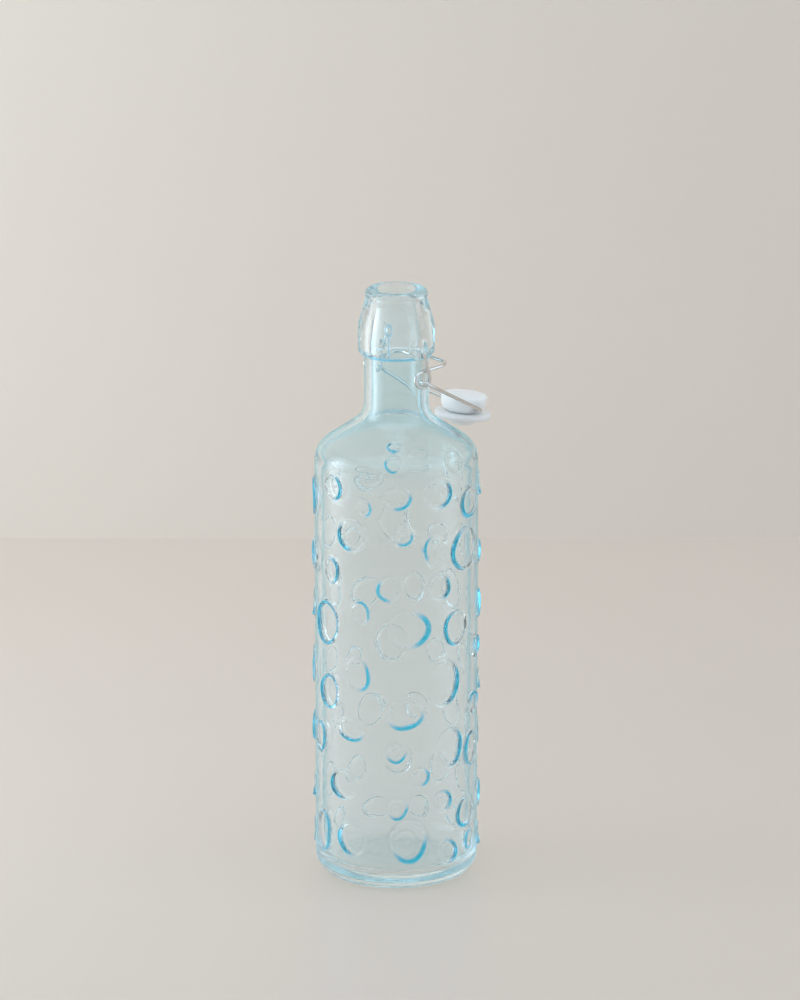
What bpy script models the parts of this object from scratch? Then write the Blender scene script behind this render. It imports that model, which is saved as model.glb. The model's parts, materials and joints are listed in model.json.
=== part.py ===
"""Swing-top glass bottle with embossed bubbles, standing open.

Metres, +Z up. The origin is on the bottle's axis, at the underside of its base.
The closure turns about an axis along Y through the collar. Its finger loop and
its stopper, which leans on the shoulder, lie toward +X.
"""

import math

import bmesh
import bpy
from mathutils import Vector

# Bottle, outside
BOTTLE_HEIGHT = 0.316
BODY_RADIUS = 0.0425
HEEL_ROUND = 0.0105
SHOULDER_SLOPE = math.radians(34.6)
SHOULDER_ROUND = 0.0087
NECK_LENGTH = 0.0667
NECK_RADIUS = 0.0167
NECK_ROUND = 0.0122
COLLAR_LENGTH = 0.0346
COLLAR_STEP = 0.0031
COLLAR_CORNER = 0.0025
COLLAR_FOOT_ROUND = 0.0008
COLLAR_CYLINDER = 0.0159
COLLAR_BELLY_ROUND = 0.020
MOUTH_RADIUS = 0.0099
LIP_WIDTH = 0.0063
LIP_HEIGHT = 0.0042
LIP_ROUND = 0.0028
LIP_OVERHANG = 0.0006
LIP_FOOT_ROUND = 0.0006

# Bottle, inside
BODY_WALL = 0.0035
NECK_WALL = 0.0041
BASE_THICKNESS = 0.008
INNER_HEEL_ROUND = 0.008
INNER_SHOULDER_ROUND = 0.006
INNER_NECK_ROUND = 0.015
MOUTH_BORE_LENGTH = 0.009
BORE_TAPER_LENGTH = 0.019
BORE_ROUND = 0.008
MOUTH_INNER_ROUND = 0.002

# Embossed bubbles
BUBBLE_RELIEF = 0.0016
BUBBLE_SINK = 0.0009
BUBBLE_DISH = 0.0010
BUBBLE_RIM_WIDTH = 0.0017
BUBBLE_BEVEL = 0.0012

# Wires of the closure
WIRE_RADIUS = 0.00095
WIRE_GAP = 0.0003
WIRE_BEND = 0.0022
PIVOT_DEPTH = 0.0286
PIN_DEPTH = 0.005
PIN_CLEARANCE = 0.0003
DIMPLE_RADIUS = 0.008
DIMPLE_DEPTH = 0.0026
COLLAR_SIDE_GAP = 0.00045
COLLAR_TIP_GAP = 0.0005
NECK_TIP_GAP = 0.00105
FINGER_CORNER = 0.0065
EYE_DROP = 0.0157
EYE_RADIUS = 0.0039
EYE_SAG = 0.0012
EYE_PIN_OVERHANG = 0.001
BAIL_LENGTH = 0.050
BAIL_SHOULDER = 0.006
BAIL_SHOULDER_ROUND = 0.008
BAIL_HEAD_ROUND = 0.006
BAIL_HEAD_LENGTH = 0.0055
BAIL_SIDE_GAP = 0.0019
BAIL_HEAD_TAPER = 0.0021

# Stopper: heights are above the sealing face of its gasket
HEAD_RADIUS = 0.0122
HEAD_TOP = 0.013
HEAD_DOME = 0.0008
HEAD_EDGE_ROUND = 0.0014
HEAD_WAIST_RADIUS = 0.0116
HEAD_WAIST_HEIGHT = 0.0056
HEAD_BELLY_ROUND = 0.005
HEAD_SEAT_RADIUS = 0.0088
HOLE_HEIGHT = 0.0065
STEM_RADIUS = 0.005
NOSE_RADIUS = 0.0064
NOSE_LENGTH = 0.0038
NOSE_ROUND = 0.0018
GASKET_RADIUS = 0.0148
GASKET_THICKNESS = 0.003
GASKET_EDGE_ROUND = 0.0012
SEAT_GAP = 0.0003
STOPPER_TILT = math.radians(6)

# Fineness of the mesh
BOTTLE_STEPS = 40
STOPPER_STEPS = 32
ARC_STEP = math.radians(27)
WIRE_SIDES = 8
BUBBLE_SIDES = 8
CUT_OVERRUN = 0.004
MERGE = 0.00001

# Each bubble: its place round the bottle as a share of a turn from +X, its height as a
# share of the straight wall, its half width as a share of the body's radius, and its half
# height as a share of the straight wall
BUBBLE_SHARES = [
    (0.508, 0.940, 0.16, 0.032), (0.649, 0.930, 0.18, 0.028), (0.733, 0.936, 0.21, 0.036),
    (0.822, 0.895, 0.20, 0.037), (0.584, 0.905, 0.10, 0.021), (0.553, 0.835, 0.20, 0.037),
    (0.662, 0.842, 0.12, 0.024), (0.722, 0.805, 0.14, 0.037), (0.803, 0.792, 0.24, 0.052),
    (0.502, 0.745, 0.14, 0.034), (0.633, 0.720, 0.16, 0.032), (0.735, 0.716, 0.17, 0.034),
    (0.486, 0.618, 0.23, 0.052), (0.575, 0.660, 0.14, 0.028), (0.673, 0.625, 0.27, 0.047),
    (0.777, 0.614, 0.21, 0.043), (0.494, 0.458, 0.18, 0.043), (0.569, 0.513, 0.18, 0.039),
    (0.748, 0.494, 0.25, 0.058), (0.842, 0.418, 0.14, 0.028), (0.664, 0.426, 0.24, 0.039),
    (0.552, 0.380, 0.19, 0.028), (0.469, 0.333, 0.16, 0.041), (0.647, 0.335, 0.13, 0.026),
    (0.762, 0.336, 0.21, 0.047), (0.828, 0.311, 0.16, 0.041), (0.694, 0.277, 0.13, 0.024),
    (0.531, 0.248, 0.21, 0.037), (0.744, 0.213, 0.13, 0.026), (0.649, 0.203, 0.13, 0.027),
    (0.808, 0.167, 0.19, 0.037), (0.472, 0.120, 0.18, 0.049), (0.554, 0.122, 0.21, 0.043),
    (0.670, 0.126, 0.24, 0.053), (0.756, 0.087, 0.15, 0.030), (0.821, 0.080, 0.12, 0.022),
    (0.400, 0.905, 0.21, 0.045), (0.305, 0.925, 0.16, 0.034), (0.205, 0.900, 0.22, 0.039),
    (0.100, 0.930, 0.17, 0.030), (0.005, 0.905, 0.20, 0.047), (0.908, 0.930, 0.16, 0.030),
    (0.417, 0.770, 0.16, 0.036), (0.330, 0.790, 0.21, 0.041), (0.238, 0.760, 0.13, 0.028),
    (0.150, 0.785, 0.20, 0.051), (0.055, 0.765, 0.16, 0.028), (0.965, 0.775, 0.14, 0.037),
    (0.885, 0.775, 0.15, 0.030), (0.390, 0.645, 0.19, 0.034), (0.300, 0.640, 0.15, 0.041),
    (0.215, 0.620, 0.22, 0.039), (0.110, 0.630, 0.16, 0.036), (0.020, 0.640, 0.22, 0.049),
    (0.920, 0.640, 0.18, 0.037), (0.855, 0.560, 0.13, 0.028), (0.405, 0.500, 0.16, 0.045),
    (0.320, 0.480, 0.20, 0.037), (0.240, 0.470, 0.13, 0.024), (0.160, 0.490, 0.21, 0.047),
    (0.060, 0.480, 0.15, 0.032), (0.970, 0.490, 0.17, 0.041), (0.905, 0.460, 0.13, 0.026),
    (0.380, 0.345, 0.21, 0.039), (0.290, 0.335, 0.15, 0.034), (0.200, 0.330, 0.20, 0.043),
    (0.105, 0.340, 0.17, 0.032), (0.015, 0.345, 0.18, 0.045), (0.930, 0.330, 0.21, 0.037),
    (0.395, 0.205, 0.14, 0.030), (0.325, 0.190, 0.20, 0.045), (0.235, 0.190, 0.15, 0.032),
    (0.145, 0.200, 0.20, 0.037), (0.055, 0.190, 0.15, 0.037), (0.970, 0.195, 0.19, 0.041),
    (0.885, 0.190, 0.15, 0.034), (0.385, 0.090, 0.18, 0.030), (0.285, 0.083, 0.13, 0.024),
    (0.190, 0.086, 0.19, 0.028), (0.100, 0.088, 0.15, 0.030), (0.010, 0.084, 0.18, 0.028),
    (0.905, 0.082, 0.16, 0.028),
]

# Sizes that follow from those above
COLLAR_RADIUS = NECK_RADIUS + COLLAR_STEP
LIP_RADIUS = MOUTH_RADIUS + LIP_WIDTH
NECK_BORE_RADIUS = NECK_RADIUS - NECK_WALL
BODY_BORE_RADIUS = BODY_RADIUS - BODY_WALL
COLLAR_FOOT = BOTTLE_HEIGHT - COLLAR_LENGTH
NECK_CORNER = BOTTLE_HEIGHT - NECK_LENGTH
SHOULDER_CORNER = NECK_CORNER - (BODY_RADIUS - NECK_RADIUS) * math.tan(SHOULDER_SLOPE)
WALL_TOP = SHOULDER_CORNER - SHOULDER_ROUND * math.tan((math.pi / 2 - SHOULDER_SLOPE) / 2)
WIRE_PITCH = 2 * WIRE_RADIUS + WIRE_GAP

PIVOT = Vector((0, 0, BOTTLE_HEIGHT - PIVOT_DEPTH))
PIN_END = COLLAR_RADIUS - PIN_DEPTH
LEVER_SPREAD = COLLAR_RADIUS + COLLAR_SIDE_GAP + WIRE_RADIUS
LEVER_SHANK = LEVER_SPREAD + WIRE_PITCH
FINGER_REACH = COLLAR_RADIUS + COLLAR_TIP_GAP + WIRE_RADIUS
FINGER_X = NECK_RADIUS + NECK_TIP_GAP + WIRE_RADIUS
FINGER_DROP = math.sqrt(FINGER_REACH ** 2 - FINGER_X ** 2)

EYE_PIN = PIVOT - Vector((0, 0, EYE_DROP + EYE_SAG))
BAIL_SPREAD = LEVER_SHANK + WIRE_PITCH
BAIL_PIN_END = LEVER_SPREAD - WIRE_RADIUS - EYE_PIN_OVERHANG
BAIL_HEAD_SPREAD = GASKET_RADIUS + WIRE_RADIUS + BAIL_SIDE_GAP


def bail_rest_angle():
    """How far the bail hangs below level, with the gasket's rim just clear of the shoulder."""
    rim_in = GASKET_RADIUS * math.cos(STOPPER_TILT) + HOLE_HEIGHT * math.sin(STOPPER_TILT)
    rim_down = HOLE_HEIGHT * math.cos(STOPPER_TILT) - GASKET_RADIUS * math.sin(STOPPER_TILT)
    cone_at_axis = NECK_CORNER + NECK_RADIUS * math.tan(SHOULDER_SLOPE)
    cone_at_rim = cone_at_axis + rim_in * math.tan(SHOULDER_SLOPE)
    seat = cone_at_rim + SEAT_GAP / math.cos(SHOULDER_SLOPE)
    rise = seat + rim_down - EYE_PIN.z
    return SHOULDER_SLOPE - math.asin(rise * math.cos(SHOULDER_SLOPE) / BAIL_LENGTH)


BAIL_ANGLE = bail_rest_angle()


def clear_scene():
    for item in list(bpy.data.objects):
        bpy.data.objects.remove(item)


def new_collection(name):
    made = bpy.data.collections.new(name)
    bpy.context.scene.collection.children.link(made)
    return made


def finish_material(name, colour, roughness, metallic=0.0, transmission=0.0):
    material = bpy.data.materials.new(name)
    material.use_nodes = True
    shader = material.node_tree.nodes["Principled BSDF"]
    shader.inputs["Base Color"].default_value = (*colour, 1)
    shader.inputs["Roughness"].default_value = roughness
    shader.inputs["Metallic"].default_value = metallic
    shader.inputs["Transmission Weight"].default_value = transmission
    return material


def new_object(name, data, collection, material=None, parent=None):
    made = bpy.data.objects.new(name, data)
    collection.objects.link(made)
    if material:
        data.materials.append(material)
    made.parent = parent
    return made


def joint_empty(name, place, turn, collection, parent=None):
    """An empty on a joint's axis, turned about Y, so that what it carries can be drawn level."""
    made = bpy.data.objects.new(name, None)
    collection.objects.link(made)
    made.parent = parent
    made.location = place
    made.rotation_euler.y = turn
    return made


def hide_helper(helper):
    helper.hide_render = True
    helper.display_type = "WIRE"


def rounded(corners):
    """Points along straight runs whose corners are arcs. Each corner is (point, radius)."""
    points = [corners[0][0]]
    for (before, _), (corner, radius), (after, _) in zip(corners, corners[1:], corners[2:]):
        back = (before - corner).normalized()
        ahead = (after - corner).normalized()
        turn = math.pi - back.angle(ahead)
        if radius == 0:
            points.append(corner)
            continue
        middle = (back + ahead).normalized()
        centre = corner + middle * radius / math.cos(turn / 2)
        across = (ahead - back).normalized()
        steps = max(2, round(turn / ARC_STEP))
        for step in range(steps + 1):
            angle = turn * (step / steps - 1 / 2)
            points.append(centre - middle * radius * math.cos(angle) + across * radius * math.sin(angle))
    points.append(corners[-1][0])
    return points


def profile(corners):
    """An outline in the XZ plane, from (radius, height, rounding) corners."""
    return rounded([(Vector((x, 0, z)), radius) for x, z, radius in corners])


def turned(name, outline, steps, collection, material=None, parent=None):
    """A solid of revolution about Z. The outline runs down its outer side."""
    mesh = bpy.data.meshes.new(name)
    edges = [(i, i + 1) for i in range(len(outline) - 1)]
    mesh.from_pydata(outline, edges, [])
    made = new_object(name, mesh, collection, material, parent)
    screw = made.modifiers.new("Turn", "SCREW")
    screw.steps = steps
    screw.render_steps = steps
    screw.use_merge_vertices = True
    screw.merge_threshold = MERGE
    screw.use_smooth_shade = True
    return made


def wire(name, points, collection, material, parent):
    """A round wire along the points, with closed ends."""
    curve = bpy.data.curves.new(name, "CURVE")
    curve.dimensions = "3D"
    curve.bevel_depth = WIRE_RADIUS
    curve.bevel_resolution = WIRE_SIDES // 2 - 2
    curve.use_fill_caps = True
    spline = curve.splines.new("POLY")
    spline.points.add(len(points) - 1)
    for spot, point in zip(spline.points, points):
        spot.co = (*point, 1)
    return new_object(name, curve, collection, material, parent)


def cut(target, cutter, operation="DIFFERENCE"):
    modifier = target.modifiers.new(cutter.name, "BOOLEAN")
    modifier.operation = operation
    modifier.object = cutter
    hide_helper(cutter)


def cross_pin(name, radius, start, end, height, collection, parent=None):
    """A cylinder along Y, used as a cutter."""
    mesh = bpy.data.meshes.new(name)
    shape = bmesh.new()
    bmesh.ops.create_cone(
        shape, cap_ends=True, segments=STOPPER_STEPS // 2, radius1=radius, radius2=radius, depth=1
    )
    for vert in shape.verts:
        along = start if vert.co.z < 0 else end
        vert.co = Vector((vert.co.x, along, vert.co.y + height))
    shape.normal_update()
    bmesh.ops.recalc_face_normals(shape, faces=shape.faces)
    shape.to_mesh(mesh)
    shape.free()
    return new_object(name, mesh, collection, None, parent)


def bottle_outline():
    inner_slope = BODY_WALL / math.cos(SHOULDER_SLOPE)
    inner_shoulder = SHOULDER_CORNER + BODY_WALL * math.tan(SHOULDER_SLOPE) - inner_slope
    inner_rise = (BODY_BORE_RADIUS - NECK_BORE_RADIUS) * math.tan(SHOULDER_SLOPE)
    bore_foot = BOTTLE_HEIGHT - MOUTH_BORE_LENGTH
    waist = LIP_RADIUS - LIP_OVERHANG
    lip_foot = BOTTLE_HEIGHT - LIP_HEIGHT
    return profile([
        (0, BASE_THICKNESS, 0),
        (BODY_BORE_RADIUS, BASE_THICKNESS, INNER_HEEL_ROUND),
        (BODY_BORE_RADIUS, inner_shoulder, INNER_SHOULDER_ROUND),
        (NECK_BORE_RADIUS, inner_shoulder + inner_rise, INNER_NECK_ROUND),
        (NECK_BORE_RADIUS, bore_foot - BORE_TAPER_LENGTH, BORE_ROUND),
        (MOUTH_RADIUS, bore_foot, BORE_ROUND),
        (MOUTH_RADIUS, BOTTLE_HEIGHT, MOUTH_INNER_ROUND),
        (LIP_RADIUS, BOTTLE_HEIGHT, LIP_ROUND),
        (LIP_RADIUS, lip_foot + LIP_OVERHANG, LIP_FOOT_ROUND),
        (waist, lip_foot, LIP_FOOT_ROUND),
        (COLLAR_RADIUS, COLLAR_FOOT + COLLAR_CYLINDER, COLLAR_BELLY_ROUND),
        (COLLAR_RADIUS, COLLAR_FOOT, COLLAR_CORNER),
        (NECK_RADIUS, COLLAR_FOOT, COLLAR_FOOT_ROUND),
        (NECK_RADIUS, NECK_CORNER, NECK_ROUND),
        (BODY_RADIUS, SHOULDER_CORNER, SHOULDER_ROUND),
        (BODY_RADIUS, 0, HEEL_ROUND),
        (0, 0, 0),
    ])


def add_bubble(shape, turn, height, half_width, half_height):
    """One raised bubble with a rim and a dished middle, wrapped on the bottle's wall."""
    depth = BUBBLE_SINK + BUBBLE_RELIEF
    made = bmesh.ops.create_cone(
        shape, cap_ends=True, segments=BUBBLE_SIDES, radius1=1, radius2=1, depth=depth
    )
    verts = made["verts"]
    for vert in verts:
        raised = vert.co.z > 0
        inset = BUBBLE_BEVEL if raised else 0
        vert.co.x *= half_width - inset
        vert.co.y *= half_height - inset
        vert.co.z = BUBBLE_RELIEF if raised else -BUBBLE_SINK
    faces = {face for vert in verts for face in vert.link_faces}
    top = max(faces, key=lambda face: face.calc_center_median().z)
    bmesh.ops.inset_individual(shape, faces=[top], thickness=BUBBLE_RIM_WIDTH)
    for vert in top.verts:
        vert.co.z -= BUBBLE_DISH
    around = {vert for face in faces for vert in face.verts} | set(top.verts)
    for vert in around:
        angle = turn * math.tau + vert.co.x / BODY_RADIUS
        reach = BODY_RADIUS + vert.co.z
        vert.co = Vector((reach * math.cos(angle), reach * math.sin(angle), height + vert.co.y))


def bubbles(collection):
    mesh = bpy.data.meshes.new("bubbles")
    shape = bmesh.new()
    for turn_share, height_share, width_share, tall_share in BUBBLE_SHARES:
        add_bubble(
            shape,
            turn_share,
            height_share * WALL_TOP,
            width_share * BODY_RADIUS,
            tall_share * WALL_TOP,
        )
    shape.normal_update()
    bmesh.ops.recalc_face_normals(shape, faces=shape.faces)
    shape.to_mesh(mesh)
    shape.free()
    return new_object("bubbles", mesh, collection)


def dimple(name, side, collection):
    """The scoop in the collar's side, round the mouth of a pin hole."""
    mesh = bpy.data.meshes.new(name)
    shape = bmesh.new()
    bmesh.ops.create_uvsphere(shape, u_segments=16, v_segments=10, radius=DIMPLE_RADIUS)
    shape.to_mesh(mesh)
    shape.free()
    made = new_object(name, mesh, collection)
    made.location = (0, side * (COLLAR_RADIUS - DIMPLE_DEPTH + DIMPLE_RADIUS), PIVOT.z)
    return made


def make_bottle(parts, cutters):
    glass = finish_material("aqua_glass", (0.62, 0.90, 0.94), 0.03, transmission=1.0)
    bottle = turned("glass_bottle", bottle_outline(), BOTTLE_STEPS, parts, glass)
    cut(bottle, bubbles(cutters), "UNION")
    hole_radius = WIRE_RADIUS + PIN_CLEARANCE
    hole_end = PIN_END - PIN_CLEARANCE
    mouth = COLLAR_RADIUS + CUT_OVERRUN
    for label, side in (("near", -1), ("far", 1)):
        cut(bottle, dimple(label + "_dimple", side, cutters))
        hole = cross_pin(
            label + "_pin_hole", hole_radius, side * hole_end, side * mouth, PIVOT.z, cutters
        )
        cut(bottle, hole)


def lever_half(side):
    """From the pin in the collar, down to the eye, round it, and out to the finger loop."""
    eye = Vector((0, 0, -EYE_DROP))
    shank_turn = math.pi / 2 - math.acos(EYE_RADIUS / EYE_DROP)
    tip = Vector((FINGER_X, 0, EYE_DROP - FINGER_DROP))
    tip_turn = math.atan2(tip.z, tip.x) + math.acos(EYE_RADIUS / tip.length)
    sweep = math.tau - tip_turn + shank_turn
    steps = round(sweep / ARC_STEP)
    loop = []
    for step in range(steps + 1):
        share = step / steps
        angle = shank_turn - sweep * share
        out = LEVER_SHANK + (LEVER_SPREAD - LEVER_SHANK) * share
        round_eye = Vector((math.cos(angle), 0, math.sin(angle))) * EYE_RADIUS
        loop.append(eye + round_eye + Vector((0, side * out, 0)))
    shank = rounded([
        (Vector((0, side * PIN_END, 0)), 0),
        (Vector((0, side * LEVER_SHANK, 0)), WIRE_BEND),
        (loop[0], 0),
    ])
    finger = rounded([
        (loop[-1], 0),
        (Vector((FINGER_X, side * LEVER_SPREAD, -FINGER_DROP)), FINGER_CORNER),
        (Vector((FINGER_X, 0, -FINGER_DROP)), 0),
    ])
    return shank[:-1] + loop + finger[1:]


def bail_half(side):
    """From the pin in the lever's eye, along the arm, and into the stopper."""
    return rounded([
        (Vector((0, side * BAIL_PIN_END, 0)), 0),
        (Vector((0, side * BAIL_SPREAD, 0)), WIRE_BEND),
        (Vector((BAIL_SHOULDER, side * BAIL_SPREAD, 0)), BAIL_SHOULDER_ROUND),
        (Vector((BAIL_LENGTH - BAIL_HEAD_LENGTH, side * BAIL_HEAD_SPREAD, 0)), BAIL_HEAD_ROUND),
        (Vector((BAIL_LENGTH, side * (BAIL_HEAD_SPREAD - BAIL_HEAD_TAPER), 0)), WIRE_BEND),
        (Vector((BAIL_LENGTH, 0, 0)), 0),
    ])


def both_halves(half):
    near = half(-1)
    far = half(1)
    return near + far[-2::-1]


def make_lever(parts, pivot):
    steel = finish_material("lever_steel", (0.72, 0.70, 0.67), 0.25, metallic=1.0)
    wire("lever_wire", both_halves(lever_half), parts, steel, pivot)


def make_bail(parts, pivot):
    steel = finish_material("bail_steel", (0.72, 0.70, 0.67), 0.25, metallic=1.0)
    wire("bail_wire", both_halves(bail_half), parts, steel, pivot)


def make_stopper_head(parts, cutters, pivot):
    plastic = finish_material("white_plastic", (0.90, 0.93, 0.95), 0.3)
    seat = GASKET_THICKNESS + SEAT_GAP - HOLE_HEIGHT
    nose_top = -SEAT_GAP - HOLE_HEIGHT
    outline = profile([
        (0, HEAD_TOP - HOLE_HEIGHT, 0),
        (HEAD_RADIUS, HEAD_TOP - HEAD_DOME - HOLE_HEIGHT, HEAD_EDGE_ROUND),
        (HEAD_WAIST_RADIUS, HEAD_WAIST_HEIGHT - HOLE_HEIGHT, HEAD_BELLY_ROUND),
        (HEAD_SEAT_RADIUS, seat, 0),
        (STEM_RADIUS, seat, 0),
        (STEM_RADIUS, nose_top, 0),
        (NOSE_RADIUS, nose_top, 0),
        (NOSE_RADIUS, -NOSE_LENGTH - HOLE_HEIGHT, NOSE_ROUND),
        (0, -NOSE_LENGTH - HOLE_HEIGHT, 0),
    ])
    head = turned("stopper_head", outline, STOPPER_STEPS, parts, plastic, pivot)
    reach = HEAD_RADIUS + CUT_OVERRUN
    radius = WIRE_RADIUS + PIN_CLEARANCE
    cut(head, cross_pin("wire_hole", radius, -reach, reach, 0, cutters, pivot))


def make_gasket(parts, pivot):
    silicone = finish_material("pale_silicone", (0.85, 0.90, 0.91), 0.4)
    top = GASKET_THICKNESS - HOLE_HEIGHT
    bore = STEM_RADIUS + SEAT_GAP
    half = GASKET_THICKNESS / 2
    outline = profile([
        (bore, top - half, 0),
        (bore, top, 0),
        (GASKET_RADIUS, top, GASKET_EDGE_ROUND),
        (GASKET_RADIUS, -HOLE_HEIGHT, GASKET_EDGE_ROUND),
        (bore, -HOLE_HEIGHT, 0),
        (bore, top - half, 0),
    ])
    turned("gasket", outline, STOPPER_STEPS, parts, silicone, pivot)


def main():
    clear_scene()
    parts = new_collection("swing_top_bottle")
    cutters = new_collection("cutters")
    lever_pivot = joint_empty("lever_pivot", PIVOT, 0, parts)
    bail_pivot = joint_empty("bail_pivot", EYE_PIN - PIVOT, BAIL_ANGLE, parts, lever_pivot)
    head_place = Vector((BAIL_LENGTH, 0, 0))
    head_turn = STOPPER_TILT - BAIL_ANGLE
    stopper_pivot = joint_empty("stopper_pivot", head_place, head_turn, parts, bail_pivot)
    make_bottle(parts, cutters)
    make_lever(parts, lever_pivot)
    make_bail(parts, bail_pivot)
    make_stopper_head(parts, cutters, stopper_pivot)
    make_gasket(parts, stopper_pivot)
    bpy.context.view_layer.update()
    print("bail hangs", round(math.degrees(BAIL_ANGLE), 1), "degrees below level")
    print("stopper pivot at", tuple(round(value, 4) for value in stopper_pivot.matrix_world.translation))
    print("bail pivot at", tuple(round(value, 4) for value in bail_pivot.matrix_world.translation))


main()
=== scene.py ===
# %% [markdown]
# # A swing-top bottle in pale aqua glass
# The bottle is one blown piece with raised bubbles all round its body. A wire closure
# hangs open on its collar, with a milky plastic stopper and a soft seal ring.
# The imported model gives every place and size. This script keeps those sizes and makes
# the fine forms and the finishes: the glass relief, the round wires, the moulded stopper.

import json
import math

import bpy
import numpy as np
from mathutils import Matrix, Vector


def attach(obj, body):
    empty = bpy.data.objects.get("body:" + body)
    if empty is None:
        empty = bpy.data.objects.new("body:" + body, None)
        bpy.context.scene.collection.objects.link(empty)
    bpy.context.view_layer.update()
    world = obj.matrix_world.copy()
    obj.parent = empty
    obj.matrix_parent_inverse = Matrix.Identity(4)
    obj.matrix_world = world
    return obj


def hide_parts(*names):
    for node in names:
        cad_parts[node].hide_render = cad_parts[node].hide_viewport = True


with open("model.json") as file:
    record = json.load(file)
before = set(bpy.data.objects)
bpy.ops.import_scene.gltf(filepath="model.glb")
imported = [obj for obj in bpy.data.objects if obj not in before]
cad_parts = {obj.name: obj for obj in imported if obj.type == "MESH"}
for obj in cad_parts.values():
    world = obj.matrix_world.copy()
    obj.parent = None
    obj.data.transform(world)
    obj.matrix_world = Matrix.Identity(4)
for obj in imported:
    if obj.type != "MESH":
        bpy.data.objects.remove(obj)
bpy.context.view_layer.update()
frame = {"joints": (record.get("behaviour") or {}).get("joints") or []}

# %% [markdown]
# The picture was taken from a little above the bottle, with the open stopper on its
# right, and with a long lens, so the sides look almost parallel. A camera far away with
# a long lens does the same. A near one with a short lens would make the neck look larger.

# %% Camera
CAMERA_TURN = math.radians(-37)
CAMERA_RISE = math.radians(16.5)
CAMERA_DISTANCE = 3.25
CAMERA_LENS = 225
FARTHEST_SEEN = 100
AIM_HEIGHT = 0.2022
AIM_ASIDE = 0.0019
LIGHT_BOUNCES = 40

rightward = Vector((math.cos(CAMERA_TURN), math.sin(CAMERA_TURN), 0))
away = Vector((-math.sin(CAMERA_TURN), math.cos(CAMERA_TURN), 0))
aim = Vector((0, 0, AIM_HEIGHT)) + rightward * AIM_ASIDE
back = Vector((0, 0, math.sin(CAMERA_RISE))) - away * math.cos(CAMERA_RISE)
bpy.ops.object.camera_add(
    location=aim + back * CAMERA_DISTANCE,
    rotation=(math.pi / 2 - CAMERA_RISE, 0, CAMERA_TURN),
)
camera = bpy.context.object
camera.data.lens = CAMERA_LENS
camera.data.clip_end = FARTHEST_SEEN
bpy.context.scene.camera = camera
bpy.context.scene.view_settings.view_transform = "Standard"
cycles = bpy.context.scene.cycles
cycles.max_bounces = cycles.transmission_bounces = cycles.glossy_bounces = LIGHT_BOUNCES
print("camera at", [round(value, 3) for value in camera.location])

# %% [markdown]
# A painted table or wall is never one flat colour: faint clouds run through it. Both get
# the same clouds, from one shader group that takes a colour and gives it back mottled.
# A material is a small network of nodes. The helpers add a node, set it and feed its
# sockets in one go, each with a plain value or with the output of another node.

# %% Node helpers and the mottle
MOTTLE_SCALE = 6
MOTTLE = 0.012
PLAIN_DETAIL = 2


def feed(tree, node, sources):
    """Gives each socket its source: another node's output, or a plain value."""
    for socket, source in dict(sources).items():
        if isinstance(source, bpy.types.NodeSocket):
            tree.links.new(source, node.inputs[socket])
        else:
            node.inputs[socket].default_value = source


def add_node(tree, kind, sources=(), **settings):
    """A shader node with its settings, and with its sockets fed by name or number."""
    node = tree.nodes.new("ShaderNode" + kind)
    for setting, value in settings.items():
        setattr(node, setting, value)
    feed(tree, node, sources)
    return node


def object_place(tree):
    return add_node(tree, "TexCoord").outputs["Object"]


def noise(tree, scale, detail=PLAIN_DETAIL):
    """Soft clouds from 0 to 1 that stay with the object."""
    sources = {"Vector": object_place(tree), "Scale": scale, "Detail": detail}
    return add_node(tree, "TexNoise", sources).outputs["Fac"]


def rescaled(tree, source, start, end, low=0, high=1, kind="LINEAR"):
    """The source, with its range from start to end brought to low and high."""
    ends = {"Value": source, "From Min": start, "From Max": end, "To Min": low, "To Max": high}
    return add_node(tree, "MapRange", ends, interpolation_type=kind).outputs["Result"]


def mixed(tree, factor, first, second, kind="MIX"):
    """Two colours, mixed by the factor."""
    colours = {"Factor": factor, "A": first, "B": second}
    return add_node(tree, "Mix", colours, data_type="RGBA", blend_type=kind).outputs["Result"]


def new_group(name, inward, outward):
    """An empty shader node group with its sockets, and the nodes at its two ends."""
    group = bpy.data.node_groups.new(name, "ShaderNodeTree")
    for way, sockets in (("INPUT", inward), ("OUTPUT", outward)):
        for socket, kind in sockets.items():
            group.interface.new_socket(socket, in_out=way, socket_type="NodeSocket" + kind)
    return group, group.nodes.new("NodeGroupInput"), group.nodes.new("NodeGroupOutput")


mottled, plain_in, mottled_out = new_group("mottled", {"Colour": "Color"}, {"Colour": "Color"})
clouds = rescaled(mottled, noise(mottled, MOTTLE_SCALE), 0, 1, 1 - MOTTLE, 1 + MOTTLE)
clouded = mixed(mottled, 1, plain_in.outputs["Colour"], clouds, "MULTIPLY")
feed(mottled, mottled_out, {"Colour": clouded})
print("the mottle has", len(mottled.nodes), "nodes")

# %% [markdown]
# The bottle stands on a pale, slightly glossy table, with a warm grey wall behind it.
# Two planes are enough. The wall is see-through from its back, so that a camera on the
# far side still sees the bottle.

# %% Table and wall
STAGE_SIZE = 14
WALL_BEHIND = 0.60
TABLE_DROP = 0.0002
TABLE_COLOUR = (0.745, 0.646, 0.568, 1)
TABLE_ROUGHNESS = 0.35
WALL_COLOUR = (0.835, 0.741, 0.645, 1)
WALL_ROUGHNESS = 0.9


def deselect():
    if bpy.context.mode != "OBJECT":
        bpy.ops.object.mode_set(mode="OBJECT")
    bpy.ops.object.select_all(action="DESELECT")


def new_material(name):
    material = bpy.data.materials.new(name)
    material.use_nodes = True
    return material, material.node_tree, material.node_tree.nodes["Principled BSDF"]


def surface_mix(tree, factor, first, second):
    """Mixes two shaders by the factor into the material's surface."""
    shaders = {"Fac": factor, 1: first.outputs["BSDF"], 2: second.outputs["BSDF"]}
    mix = add_node(tree, "MixShader", shaders)
    feed(tree, tree.nodes["Material Output"], {"Surface": mix.outputs["Shader"]})


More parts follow.
